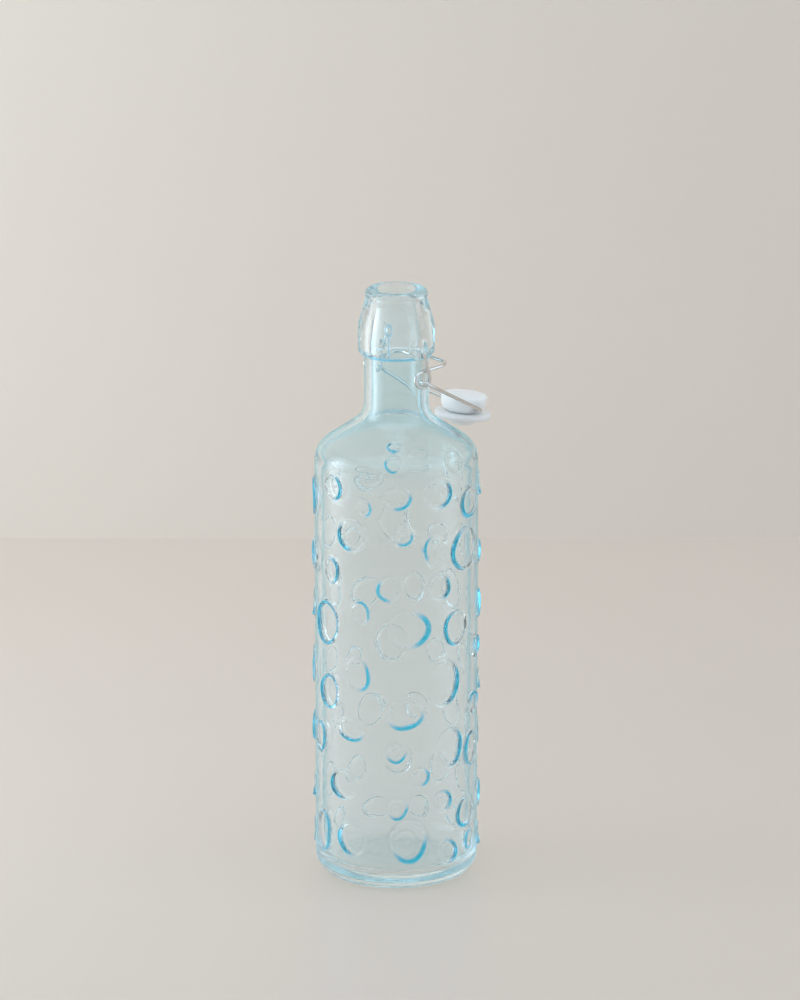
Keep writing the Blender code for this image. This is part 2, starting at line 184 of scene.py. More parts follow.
def stage_plane(name, place, rotation, colour, roughness):
    """A large mottled plane that belongs to the room."""
    deselect()
    bpy.ops.mesh.primitive_plane_add(size=STAGE_SIZE, location=place, rotation=rotation)
    plane = bpy.context.object
    plane.name = name
    material, tree, shader = new_material(name)
    paint = add_node(tree, "Group", {"Colour": colour}, node_tree=mottled)
    feed(tree, shader, {"Base Color": paint.outputs["Colour"], "Roughness": roughness})
    plane.data.materials.append(material)
    return tree, shader


stage_plane("table", (0, 0, -TABLE_DROP), (0, 0, CAMERA_TURN), TABLE_COLOUR, TABLE_ROUGHNESS)
wall_tree, wall_shader = stage_plane(
    "wall", away * WALL_BEHIND, (math.pi / 2, 0, CAMERA_TURN), WALL_COLOUR, WALL_ROUGHNESS
)
from_behind = add_node(wall_tree, "NewGeometry").outputs["Backfacing"]
surface_mix(wall_tree, from_behind, wall_shader, add_node(wall_tree, "BsdfTransparent"))
print("wall stands", WALL_BEHIND, "m behind the bottle's axis")

# %% [markdown]
# Soft daylight fills the room. It is brighter from the sides and from above than from
# behind the camera, so glass and wire have something to show. The world's colour gives
# that by direction. A colour ramp's soft steps stop at one, so a power multiplies them.
# One large lamp on the left is the window's light on the table.

# %% Daylight
ROOM_POWER = 1.8
# The light's level along the line from the room's left (0) to its right (1)
ROOM_LEVELS = ((0, 0.54), (0.25, 0.54), (0.5, 0.46), (0.75, 0.46), (1, 0.92))
ROOM_FRONT = 0.62
ROOM_FRONT_FADE = (0.3, 0.9)
ROOM_TOP = 1.6
ROOM_TOP_FADE = (0.6, 0.95)
DAYLIGHT_COLOUR = (0.85, 0.97, 1.08)
WINDOW_SIZE = 0.9
WINDOW_ASIDE = 1.1
WINDOW_NEARER = 0.25
WINDOW_POWER = 1


def computed(tree, operation, *operands):
    """The result of one sum on outputs or plain values."""
    return add_node(tree, "Math", dict(enumerate(operands)), operation=operation).outputs["Value"]


def along(tree, way, direction):
    """How far a way points in the given direction, from -1 to 1."""
    share = add_node(tree, "VectorMath", {0: way, 1: direction}, operation="DOT_PRODUCT")
    return share.outputs["Value"]


def ramped(tree, source, levels, tint=(1, 1, 1), kind="B_SPLINE"):
    """A tint that gets lighter and darker with the source, by (place, level) steps."""
    ramp = add_node(tree, "ValToRGB", {"Fac": source})
    ramp.color_ramp.interpolation = kind
    stops = ramp.color_ramp.elements
    for at, level in levels:
        stop = stops[0] if at == 0 else stops[-1] if at == 1 else stops.new(at)
        stop.color = [channel * level for channel in tint] + [1]
    return ramp.outputs["Color"]


world = bpy.data.worlds.new("room")
world.use_nodes = True
room = world.node_tree
look = add_node(room, "TexCoord").outputs["Generated"]
rise = add_node(room, "SeparateXYZ", {"Vector": look}).outputs["Z"]
across = rescaled(room, along(room, look, rightward), -1, 1)
front = along(room, look, -away)
front_power = rescaled(
    room, front, *ROOM_FRONT_FADE, ROOM_POWER, ROOM_POWER * ROOM_FRONT, "SMOOTHSTEP"
)
top_power = rescaled(room, rise, *ROOM_TOP_FADE, 1, ROOM_TOP, "SMOOTHSTEP")
feed(room, room.nodes["Background"], {
    "Color": ramped(room, across, ROOM_LEVELS, DAYLIGHT_COLOUR),
    "Strength": computed(room, "MULTIPLY", front_power, top_power),
})
bpy.context.scene.world = world

window_way = rightward * WINDOW_ASIDE + away * WINDOW_NEARER
window_place = Vector((0, 0, WINDOW_SIZE / 2)) - window_way
deselect()
bpy.ops.object.light_add(type="AREA", location=window_place)
window = bpy.context.object
window.name = "window"
window.data.shape = "SQUARE"
window.data.size = WINDOW_SIZE
window.data.energy = WINDOW_POWER
window.visible_camera = window.visible_glossy = window.visible_transmission = False
facing = Vector((0, 0, window_place.z)) - window_place
window.rotation_euler = facing.to_track_quat("-Z", "Y").to_euler()
print("window at", [round(value, 2) for value in window_place])

# %% [markdown]
# A tall curtain hangs on the left, lit from behind. It draws the white streak on the
# neck and the soft oval on the shoulder. Its light fades toward its edges, with one
# bright fold. A plain lamp would draw hard edges there. It reaches down to the table,
# because a wall seen from above mirrors what lies below its own height.

# %% Bright curtain
CURTAIN_AWAY = 0.74
CURTAIN_TURN = math.radians(78)
CURTAIN_WIDTH = 1.3
CURTAIN_HEIGHT = 1.05
CURTAIN_POWER = 5
# The curtain's brightness across its width, with the fold as its peak
CURTAIN_LEVELS = (
    (0, 0), (0.08, 0.1), (0.2, 0.45), (0.3, 1), (0.42, 0.5), (0.6, 0.2), (0.8, 0.1), (1, 0)
)
CURTAIN_TOP_FADE = 0.5

curtain_way = -away * math.cos(CURTAIN_TURN) - rightward * math.sin(CURTAIN_TURN)
curtain_place = curtain_way * CURTAIN_AWAY + Vector((0, 0, CURTAIN_HEIGHT / 2))
deselect()
bpy.ops.mesh.primitive_plane_add(size=1, location=curtain_place)
curtain = bpy.context.object
curtain.name = "bright_curtain"
curtain.rotation_euler = (-curtain_way).to_track_quat("Z", "Y").to_euler()
curtain.scale = (CURTAIN_WIDTH, CURTAIN_HEIGHT, 1)
bpy.ops.object.transform_apply(location=False, rotation=False, scale=True)
curtain.visible_camera = curtain.visible_shadow = False

cloth, cloth_tree, cloth_shader = new_material("bright_curtain")
cloth_axes = add_node(cloth_tree, "SeparateXYZ", {"Vector": object_place(cloth_tree)}).outputs
cloth_share = rescaled(cloth_tree, cloth_axes["X"], CURTAIN_WIDTH / 2, -CURTAIN_WIDTH / 2)
top_edge = CURTAIN_HEIGHT / 2
fade_end = top_edge - CURTAIN_TOP_FADE
cloth_fade = rescaled(
    cloth_tree, cloth_axes["Y"], top_edge, fade_end, 0, CURTAIN_POWER, "SMOOTHSTEP"
)
cloth_level = ramped(cloth_tree, cloth_share, CURTAIN_LEVELS)
feed(cloth_tree, cloth_shader, {
    "Base Color": (0, 0, 0, 1),
    "Emission Color": (*DAYLIGHT_COLOUR, 1),
    "Emission Strength": computed(cloth_tree, "MULTIPLY", cloth_level, cloth_fade),
})
curtain.data.materials.append(cloth)
print("curtain at", [round(value, 2) for value in curtain.location])

# %% [markdown]
# The glass body is a turned shape. Its outline is drawn as on paper: straight runs
# joined by arcs, from the middle of the inside floor, up the inside, over the lip,
# down the outside and back to the middle of the base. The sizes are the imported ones,
# but for a shoulder that is a little rounder.

# %% Sizes of the glass
BOTTLE_HEIGHT = 0.316
BODY_RADIUS = 0.0425
HEEL_ROUND = 0.0105
SHOULDER_SLOPE = math.radians(34.6)
SHOULDER_ROUND = 0.0135
NECK_LENGTH = 0.0667
NECK_RADIUS = 0.0167
NECK_ROUND = 0.0122
COLLAR_LENGTH = 0.0346
COLLAR_STEP = 0.0031
COLLAR_CORNER = 0.0025
COLLAR_FOOT_ROUND = 0.0008
COLLAR_CYLINDER = 0.0159
COLLAR_BELLY_ROUND = 0.020
MOUTH_RADIUS = 0.0099
LIP_WIDTH = 0.0063
LIP_HEIGHT = 0.0042
LIP_ROUND = 0.0028
LIP_OVERHANG = 0.0006
LIP_FOOT_ROUND = 0.0006
BODY_WALL = 0.0035
NECK_WALL = 0.0041
BASE_THICKNESS = 0.008
INNER_HEEL_ROUND = 0.008
INNER_SHOULDER_ROUND = 0.006
INNER_NECK_ROUND = 0.015
MOUTH_BORE_LENGTH = 0.009
BORE_TAPER_LENGTH = 0.019
BORE_ROUND = 0.008
MOUTH_INNER_ROUND = 0.002

COLLAR_RADIUS = NECK_RADIUS + COLLAR_STEP
LIP_RADIUS = MOUTH_RADIUS + LIP_WIDTH
NECK_BORE_RADIUS = NECK_RADIUS - NECK_WALL
BODY_BORE_RADIUS = BODY_RADIUS - BODY_WALL
COLLAR_FOOT = BOTTLE_HEIGHT - COLLAR_LENGTH
NECK_CORNER = BOTTLE_HEIGHT - NECK_LENGTH
SHOULDER_CORNER = NECK_CORNER - (BODY_RADIUS - NECK_RADIUS) * math.tan(SHOULDER_SLOPE)
WALL_TOP = SHOULDER_CORNER - SHOULDER_ROUND * math.tan((math.pi / 2 - SHOULDER_SLOPE) / 2)
print("shoulder starts at", round(WALL_TOP, 4), "and the neck at", round(NECK_CORNER, 4))

# %% [markdown]
# Corners become arcs by simple geometry: an arc touches both runs, and its centre lies
# on the line that halves the corner. The spacing sets how close the points are, fine
# where the relief and the collar need it and coarse on the plain inside.

# %% Outline of arcs and runs
ARC_LIMIT = math.radians(11)


def run(start, end, spacing):
    """Points after the start, evenly spaced up to the end."""
    count = max(1, math.ceil((end - start).length / spacing))
    return [start.lerp(end, step / count) for step in range(1, count + 1)]


def rounded(corners, spacing):
    """Points along straight runs with arcs for corners. Each corner is (point, radius)."""
    points = [corners[0][0]]
    for (before, _), (corner, radius), (after, _) in zip(corners, corners[1:], corners[2:]):
        backward = (before - corner).normalized()
        onward = (after - corner).normalized()
        turn = math.pi - backward.angle(onward)
        middle = (backward + onward).normalized()
        across = (onward - backward).normalized()
        centre = corner + middle * radius / math.cos(turn / 2)
        steps = max(1, math.ceil(turn / ARC_LIMIT), math.ceil(turn * radius / spacing))
        arc = []
        for step in range(steps + 1):
            angle = turn * (step / steps - 1 / 2)
            inward = middle * radius * math.cos(angle)
            sideways = across * radius * math.sin(angle)
            arc.append(centre - inward + sideways)
        points += run(points[-1], arc[0], spacing) + arc[1:]
    return points + run(points[-1], corners[-1][0], spacing)


def outline(corners, spacing):
    """The same in the XZ plane, from (radius, height, rounding) corners."""
    return rounded([(Vector((x, 0, z)), radius) for x, z, radius in corners], spacing)


FINE = 0.0008
WALL_SPACING = 0.0018
INSIDE_SPACING = 0.009
NECK_SPACING = 0.002

inner_slope = BODY_WALL / math.cos(SHOULDER_SLOPE)
inner_shoulder = SHOULDER_CORNER + BODY_WALL * math.tan(SHOULDER_SLOPE) - inner_slope
inner_rise = (BODY_BORE_RADIUS - NECK_BORE_RADIUS) * math.tan(SHOULDER_SLOPE)
bore_foot = BOTTLE_HEIGHT - MOUTH_BORE_LENGTH
waist = LIP_RADIUS - LIP_OVERHANG
lip_foot = BOTTLE_HEIGHT - LIP_HEIGHT
neck_middle = (NECK_CORNER + COLLAR_FOOT) / 2

inside = outline([
    (0, BASE_THICKNESS, 0),
    (BODY_BORE_RADIUS, BASE_THICKNESS, INNER_HEEL_ROUND),
    (BODY_BORE_RADIUS, inner_shoulder, INNER_SHOULDER_ROUND),
    (NECK_BORE_RADIUS, inner_shoulder + inner_rise, INNER_NECK_ROUND),
    (NECK_BORE_RADIUS, bore_foot - BORE_TAPER_LENGTH, BORE_ROUND),
    (MOUTH_RADIUS, bore_foot, BORE_ROUND),
    (MOUTH_RADIUS, lip_foot, 0),
], INSIDE_SPACING)
top = outline([
    (MOUTH_RADIUS, lip_foot, 0),
    (MOUTH_RADIUS, BOTTLE_HEIGHT, MOUTH_INNER_ROUND),
    (LIP_RADIUS, BOTTLE_HEIGHT, LIP_ROUND),
    (LIP_RADIUS, lip_foot + LIP_OVERHANG, LIP_FOOT_ROUND),
    (waist, lip_foot, LIP_FOOT_ROUND),
    (COLLAR_RADIUS, COLLAR_FOOT + COLLAR_CYLINDER, COLLAR_BELLY_ROUND),
    (COLLAR_RADIUS, COLLAR_FOOT, COLLAR_CORNER),
    (NECK_RADIUS, COLLAR_FOOT, COLLAR_FOOT_ROUND),
    (NECK_RADIUS, COLLAR_FOOT - COLLAR_CORNER, 0),
], FINE)
neck = outline([
    (NECK_RADIUS, COLLAR_FOOT - COLLAR_CORNER, 0),
    (NECK_RADIUS, neck_middle, 0),
    (NECK_RADIUS, NECK_CORNER + NECK_ROUND, 0),
], NECK_SPACING)
outside = outline([
    (NECK_RADIUS, NECK_CORNER + NECK_ROUND, 0),
    (NECK_RADIUS, NECK_CORNER, NECK_ROUND),
    (BODY_RADIUS, SHOULDER_CORNER, SHOULDER_ROUND),
    (BODY_RADIUS, 0, HEEL_ROUND),
    (BODY_RADIUS - HEEL_ROUND - FINE, 0, 0),
], WALL_SPACING)
underside = outline([(BODY_RADIUS - HEEL_ROUND - FINE, 0, 0), (0, 0, 0)], INSIDE_SPACING)
glass_outline = inside[:-1] + top[:-1] + neck[:-1] + outside[:-1] + underside
print("outline points:", len(glass_outline))

# %% [markdown]
# By hand, a turned shape starts as one vertex that is extruded along the outline and
# then spun round the axis. Scripts can do just that with the same operators. The last
# ring meets the first, so the doubles are merged and the normals set outward.

# %% Trace and spin
MERGE = 0.000004
GLASS_COLUMNS = 144


def trace(name, points):
    """A run of edges through the points, extruded vertex by vertex."""
    deselect()
    bpy.ops.mesh.primitive_plane_add(size=1, location=(0, 0, 0))
    made = bpy.context.object
    made.name = made.data.name = name
    bpy.ops.object.mode_set(mode="EDIT")
    bpy.ops.mesh.merge(type="CENTER")
    bpy.ops.transform.translate(value=points[0])
    for before, after in zip(points, points[1:]):
        bpy.ops.mesh.extrude_vertices_move(TRANSFORM_OT_translate={"value": after - before})
    bpy.ops.object.mode_set(mode="OBJECT")
    return made


def close_up():
    """In edit mode, merges the points that meet and turns every face outward."""
    bpy.ops.mesh.select_all(action="SELECT")
    bpy.ops.mesh.remove_doubles(threshold=MERGE)
    bpy.ops.mesh.normals_make_consistent(inside=False)
    bpy.ops.object.mode_set(mode="OBJECT")


def spun(name, points, columns):
    """A closed turned shape about Z from its outline."""
    made = trace(name, points)
    bpy.ops.object.mode_set(mode="EDIT")
    bpy.ops.mesh.select_all(action="SELECT")
    bpy.ops.mesh.spin(steps=columns, angle=math.tau, center=(0, 0, 0), axis=(0, 0, 1))
    close_up()
    bpy.ops.object.shade_smooth()
    return made


glass = spun("bottle_glass", glass_outline, GLASS_COLUMNS)
print("glass faces before the relief:", len(glass.data.polygons))

# %% [markdown]
# The wire's pins turn in two blind holes in the collar. They are drilled first, while
# the shape is a plain turned one, because a Boolean cuts clean quads best. The surface
# round them is pressed in later, after the bubbles.

# %% Pin holes
PIVOT_DEPTH = 0.0286
PIN_DEPTH = 0.005
PIN_CLEARANCE = 0.0003
WIRE_RADIUS = 0.00095
DRILL_SIDES = 24

PIVOT = Vector((0, 0, BOTTLE_HEIGHT - PIVOT_DEPTH))


def select_only(made):
    deselect()
    made.select_set(True)
    bpy.context.view_layer.objects.active = made


def drill(start, end, place):
    """A cutter along Y for one of the wire's holes."""
    deselect()
    bpy.ops.mesh.primitive_cylinder_add(
        vertices=DRILL_SIDES,
        radius=WIRE_RADIUS + PIN_CLEARANCE,
        depth=abs(end - start),
        location=place + Vector((0, (start + end) / 2, 0)),
        rotation=(math.pi / 2, 0, 0),
    )
    return bpy.context.object


def subtract(target, cutter):
    """Takes the cutter out of the target, and removes the cutter."""
    select_only(target)
    cut = target.modifiers.new("cut", "BOOLEAN")
    cut.operation = "DIFFERENCE"
    cut.solver = "EXACT"
    cut.object = cutter
    bpy.ops.object.modifier_apply(modifier=cut.name)
    bpy.data.objects.remove(cutter)


pin_end = COLLAR_RADIUS - PIN_DEPTH
overrun = COLLAR_RADIUS + PIN_DEPTH
for side in (-1, 1):
    subtract(glass, drill(side * (pin_end - PIN_CLEARANCE), side * overrun, PIVOT))
print("pin holes end", round(pin_end - PIN_CLEARANCE, 4), "m from the axis")

# %% [markdown]
# The bubbles are moulded rings, each higher on one side, like ripples frozen in the
# glass. A table gives each one its place round the bottle, its height, its half width
# and half height, and the direction of its high side. A texture could fake them with
# shading, but the glass has to bend light through them, so they are real relief.

# %% Table of bubbles
# Place as a share of a turn from +X, height as a share of the straight wall, half width
# as a share of the radius, half height as a share of the wall, direction of the high
# side as a share of a turn (0 right, 0.25 up), and how high the low side is
BUBBLE_SHARES = [
    (0.508, 0.967, 0.165, 0.031, 0.00, 0.35), (0.733, 0.963, 0.212, 0.035, 0.95, 0.25),
    (0.649, 0.959, 0.184, 0.029, 0.88, 0.20), (0.822, 0.922, 0.212, 0.038, 0.60, 0.50),
    (0.661, 0.869, 0.118, 0.025, 0.85, 0.40), (0.722, 0.829, 0.136, 0.038, 0.47, 0.20),
    (0.803, 0.816, 0.259, 0.054, 0.50, 0.40), (0.553, 0.861, 0.207, 0.038, 0.58, 0.30),
    (0.583, 0.933, 0.106, 0.022, 0.97, 0.20), (0.503, 0.767, 0.141, 0.033, 0.03, 0.50),
    (0.633, 0.742, 0.160, 0.032, 0.57, 0.30), (0.735, 0.740, 0.172, 0.033, 0.97, 0.15),
    (0.486, 0.637, 0.231, 0.054, 0.50, 0.80), (0.575, 0.680, 0.136, 0.029, 0.10, 0.40),
    (0.673, 0.644, 0.273, 0.049, 0.98, 0.30), (0.776, 0.633, 0.212, 0.043, 0.52, 0.50),
    (0.494, 0.472, 0.181, 0.043, 0.50, 0.80), (0.569, 0.529, 0.181, 0.041, 0.97, 0.30),
    (0.747, 0.508, 0.252, 0.060, 0.95, 0.25), (0.842, 0.433, 0.141, 0.026, 0.20, 0.60),
    (0.664, 0.439, 0.240, 0.041, 0.80, 0.35), (0.553, 0.392, 0.193, 0.029, 0.75, 0.35),
    (0.461, 0.352, 0.150, 0.038, 0.00, 0.70), (0.647, 0.345, 0.129, 0.026, 0.78, 0.40),
    (0.761, 0.346, 0.212, 0.049, 0.97, 0.40), (0.828, 0.321, 0.172, 0.043, 0.50, 0.60),
    (0.694, 0.285, 0.127, 0.025, 0.97, 0.30), (0.532, 0.253, 0.200, 0.038, 0.57, 0.40),
    (0.744, 0.218, 0.134, 0.027, 0.05, 0.40), (0.649, 0.209, 0.134, 0.029, 0.85, 0.40),
    (0.808, 0.172, 0.195, 0.038, 0.57, 0.50), (0.472, 0.123, 0.176, 0.051, 0.00, 0.60),
    (0.554, 0.124, 0.214, 0.043, 0.57, 0.30), (0.671, 0.129, 0.240, 0.058, 0.82, 0.35),
    (0.756, 0.089, 0.158, 0.030, 0.03, 0.50), (0.821, 0.100, 0.120, 0.024, 0.50, 0.60),
    (0.643, 1.067, 0.099, 0.016, 0.60, 0.50), (0.641, 1.037, 0.110, 0.022, 0.62, 0.40),
    (0.400, 0.915, 0.210, 0.046, 0.05, 0.40), (0.305, 0.935, 0.160, 0.034, 0.40, 0.40),
    (0.205, 0.910, 0.220, 0.039, 0.90, 0.40), (0.100, 0.940, 0.170, 0.030, 0.60, 0.40),
    (0.005, 0.915, 0.200, 0.048, 0.00, 0.50), (0.908, 0.940, 0.160, 0.030, 0.70, 0.40),
    (0.417, 0.779, 0.160, 0.036, 0.50, 0.40), (0.330, 0.799, 0.210, 0.041, 0.95, 0.40),
    (0.238, 0.769, 0.130, 0.028, 0.15, 0.40), (0.150, 0.794, 0.200, 0.052, 0.55, 0.40),
    (0.055, 0.774, 0.160, 0.028, 0.85, 0.40), (0.965, 0.784, 0.140, 0.037, 0.45, 0.40),
    (0.885, 0.784, 0.150, 0.030, 0.00, 0.40), (0.390, 0.652, 0.190, 0.034, 0.80, 0.40),
    (0.300, 0.647, 0.150, 0.041, 0.50, 0.40), (0.215, 0.627, 0.220, 0.039, 0.05, 0.40),
    (0.110, 0.637, 0.160, 0.036, 0.60, 0.40), (0.020, 0.647, 0.220, 0.050, 0.90, 0.40),
    (0.920, 0.647, 0.180, 0.037, 0.45, 0.40), (0.855, 0.566, 0.130, 0.028, 0.00, 0.40),
    (0.405, 0.506, 0.160, 0.046, 0.55, 0.40), (0.320, 0.485, 0.200, 0.037, 0.85, 0.40),
    (0.240, 0.475, 0.130, 0.024, 0.30, 0.40), (0.160, 0.496, 0.210, 0.048, 0.95, 0.40),
    (0.060, 0.485, 0.150, 0.032, 0.50, 0.40), (0.970, 0.496, 0.170, 0.041, 0.05, 0.40),
    (0.905, 0.465, 0.130, 0.026, 0.70, 0.40), (0.380, 0.349, 0.210, 0.039, 0.00, 0.40),
    (0.290, 0.339, 0.150, 0.034, 0.60, 0.40), (0.200, 0.334, 0.200, 0.043, 0.45, 0.40),
    (0.105, 0.344, 0.170, 0.032, 0.90, 0.40), (0.015, 0.349, 0.180, 0.046, 0.55, 0.40),
    (0.930, 0.334, 0.210, 0.037, 0.00, 0.40), (0.395, 0.207, 0.140, 0.030, 0.80, 0.40),
    (0.325, 0.192, 0.200, 0.046, 0.50, 0.40), (0.235, 0.192, 0.150, 0.032, 0.05, 0.40),
    (0.145, 0.202, 0.200, 0.037, 0.60, 0.40), (0.055, 0.192, 0.150, 0.037, 0.90, 0.40),
    (0.970, 0.197, 0.190, 0.041, 0.45, 0.40), (0.885, 0.192, 0.150, 0.034, 0.00, 0.40),
    (0.385, 0.091, 0.180, 0.030, 0.55, 0.40), (0.285, 0.084, 0.130, 0.024, 0.30, 0.40),
    (0.190, 0.087, 0.190, 0.028, 0.95, 0.40), (0.100, 0.089, 0.150, 0.030, 0.50, 0.40),
    (0.010, 0.085, 0.180, 0.028, 0.05, 0.40), (0.905, 0.083, 0.160, 0.028, 0.70, 0.40),
]
# Small low rings, most of them inside a bubble, in the same form
RING_SHARES = [
    (0.779, 1.030, 0.160, 0.030, 0.55, 0.3), (0.600, 1.010, 0.110, 0.020, 0.80, 0.3),
    (0.661, 0.869, 0.060, 0.012, 0.83, 0.60), (0.649, 0.346, 0.060, 0.012, 0.60, 0.50),
    (0.649, 0.210, 0.060, 0.012, 0.90, 0.50), (0.746, 0.219, 0.055, 0.011, 0.05, 0.50),
    (0.664, 0.127, 0.150, 0.032, 0.70, 0.50), (0.760, 0.090, 0.070, 0.014, 0.05, 0.50),
]
print("bubbles:", len(BUBBLE_SHARES), "and low rings:", len(RING_SHARES))

# %% [markdown]
# The relief follows one cross-section for every ring. The rim is a rounded ridge, wide
# and tall on the high side and narrow and low on the other, round a shallow dish. Numpy
# works it out for all points at once. The same function gives how deep the colour is:
# the thick side of each rim shows an aqua crescent. It is partly its thicker glass and
# partly painted shade, the dark aqua of light trapped in the rim.

# %% Relief of the bubbles
RELIEF = 0.0016
SINK = 0.0004
RIM_HIGH_SHARE = 0.40
RIM_LOW_WIDTH = 0.0011
RIM_CREST = 0.45
RING_RELIEF = 0.0005
HIGH_SIDE_POWER = 1.5
# Each bubble's outline wobbles a little, and its place says where its waves start
WOBBLE = 0.05
WOBBLE_PER_TURN = 40
WOBBLE_PER_RISE = 90
# How far out a point still counts as near a bubble, and the least share at its middle
NEAR_SHARE = 1.5
CENTRE_SHARE = 0.001
# Where the colour starts and ends across the rim, and how much of the way round it goes
DEEP_EDGE = 0.15
DEEP_END = 0.74
DEEP_FADE = 0.2
DEEP_ARC = 0.45

# The outside from the base up: height, radius, and distance along the outline
way_down = np.cumsum([0] + [(b - a).length for a, b in zip(outside, outside[1:])])
outer_z = np.array([point.z for point in outside])[::-1]
outer_r = np.array([point.x for point in outside])[::-1]
outer_s = (way_down[-1] - way_down)[::-1]
keep = np.append(np.diff(outer_z) > 0, True)
outer_z, outer_r, outer_s = outer_z[keep], outer_r[keep], outer_s[keep]
slope_r = np.gradient(outer_r, outer_s)
slope_z = np.gradient(outer_z, outer_s)


def smooth_step(low, high, values):
    share = np.clip((values - low) / (high - low), 0, 1)
    return share * share * (3 - 2 * share)


def on_outline(heights, values):
    return np.interp(heights, outer_z, values)


def bubble_places(around, heights, rows):
    """For each bubble: the points near it, how far inside its outline they are, the rim's
    width there, how high its high side makes it, and how far it leans there."""
    surface = on_outline(heights, outer_s)
    for turn, rise, width, tall, high_side, low_share in rows:
        half_width = width * BODY_RADIUS
        half_height = tall * WALL_TOP
        aside = (around - turn * math.tau + math.pi) % math.tau - math.pi
        right = aside * on_outline(heights, outer_r)
        up = surface - on_outline(rise * WALL_TOP, outer_s)
        farthest = np.maximum(abs(right) / half_width, abs(up) / half_height)
        near = np.flatnonzero(farthest < NEAR_SHARE)
        right, up = right[near], up[near]
        reach = np.hypot(right, up)
        way = np.arctan2(up, right)
        waves = np.sin(2 * way + turn * WOBBLE_PER_TURN) + np.sin(3 * way + rise * WOBBLE_PER_RISE)
        wobble = 1 + WOBBLE * waves / 2
        share = np.maximum(np.hypot(right / half_width, up / half_height) / wobble, CENTRE_SHARE)
        lean = np.cos(way - high_side * math.tau)
        toward = ((1 + lean) / 2) ** HIGH_SIDE_POWER
        high_rim = RIM_HIGH_SHARE * min(half_width, half_height)
        rim = RIM_LOW_WIDTH + (high_rim - RIM_LOW_WIDTH) * toward
        yield near, reach / share - reach, rim, low_share + (1 - low_share) * toward, lean * share


def relief(around, heights):
    """How far the glass stands proud of the plain wall, and how deep its colour is."""
    proud = np.zeros(len(around))
    deep = np.zeros(len(around))
    for rows, height in ((BUBBLE_SHARES, RELIEF), (RING_SHARES, RING_RELIEF)):
        is_bubble = height == RELIEF
        for near, depth, rim, size, lean in bubble_places(around, heights, rows):
            across = depth / rim
            rise = smooth_step(0, RIM_CREST, across)
            fall = smooth_step(RIM_CREST, 1, across)
            dish = SINK * fall * smooth_step(-1, 1, lean) * is_bubble
            proud[near] += height * size * rise * (1 - fall) - dish
            # The deep colour on the rim's high side is partly painted shade of light trapped in
            # the rim
            starts = smooth_step(0, DEEP_EDGE, across)
            ends = smooth_step(DEEP_END, DEEP_END + DEEP_FADE, across)
            arc = smooth_step(1 - DEEP_ARC, 1 - DEEP_ARC / 3, size) * is_bubble
            deep[near] = np.maximum(deep[near], starts * (1 - ends) * arc)
    return np.clip(proud, -RELIEF, RELIEF), deep


print("the outside is", round(float(way_down[-1]), 3), "m along its outline")

# %% [markdown]
# The relief only shows where the mesh has points to move, so the faces on and near the
# rims are cut into four, twice. Cutting all faces so fine would make millions. Then each
# point moves out from the wall by its relief, and its depth of colour is kept as an
# attribute for the material.

# %% Finer faces and the raised bubbles
OUTSIDE_SLACK = 0.0006
# How far outside a rim and how far inside it the faces are cut, the first and second time
RIM_BANDS = ((0.0006, 0.0004), (0, -0.0001))


def wall_place(points):
    """Distance from the axis, direction round it and height of each point."""
    x, y, z = points.T
    return np.hypot(x, y), np.arctan2(y, x), z


def near_ring(around, heights, outer, inner):
    """True where a point lies on some bubble's rim or close to it."""
    found = np.zeros(len(around), bool)
    for near, depth, rim, _, _ in bubble_places(around, heights, BUBBLE_SHARES + RING_SHARES):
        found[near] |= (depth > -outer) & (depth < rim + inner)
    return found


def read_points(made):
    flat = np.empty(len(made.data.vertices) * 3)
    made.data.vertices.foreach_get("co", flat)
    return flat.reshape(-1, 3)


def write_points(made, points):
    made.data.vertices.foreach_set("co", points.ravel())
    made.data.update()


def on_outside(points):
    distance, _, height = wall_place(points)
    body = (height > HEEL_ROUND / 2) & (height < NECK_CORNER)
    return body & (abs(distance - on_outline(height, outer_r)) < OUTSIDE_SLACK)


def refine(made, choose):
    """Cuts the chosen faces into four, so that the relief has points to move."""
    faces = made.data.polygons
    centres = np.empty(len(faces) * 3)
    faces.foreach_get("center", centres)
    chosen = choose(centres.reshape(-1, 3))
    select_only(made)
    bpy.ops.object.mode_set(mode="EDIT")
    bpy.ops.mesh.select_mode(type="FACE")
    bpy.ops.mesh.select_all(action="DESELECT")
    bpy.ops.object.mode_set(mode="OBJECT")
    faces.foreach_set("select", chosen)
    bpy.ops.object.mode_set(mode="EDIT")
    bpy.ops.mesh.subdivide(number_cuts=1)
    bpy.ops.mesh.select_mode(type="VERT")
    bpy.ops.object.mode_set(mode="OBJECT")


def rings_within(outer, inner):
    def choose(centres):
        _, around, height = wall_place(centres)
        return on_outside(centres) & near_ring(around, height, outer, inner)
    return choose


for band in RIM_BANDS:
    refine(glass, rings_within(*band))

points = read_points(glass)
distance, around, height = wall_place(points)
outer = on_outside(points)
proud, deep = relief(around, height)
proud, deep = np.where(outer, proud, 0), np.where(outer, deep, 0)
wall = np.where(outer, on_outline(height, outer_r), distance)
distance = wall + proud * on_outline(height, slope_z)
points[:, 0] = np.cos(around) * distance
points[:, 1] = np.sin(around) * distance
points[:, 2] -= proud * on_outline(height, slope_r)
write_points(glass, points)
crescents = glass.data.attributes.new("crescents", "FLOAT", "POINT")
crescents.data.foreach_set("value", deep)
print("relief from", round(float(proud.min()), 5), "to", round(float(proud.max()), 5))
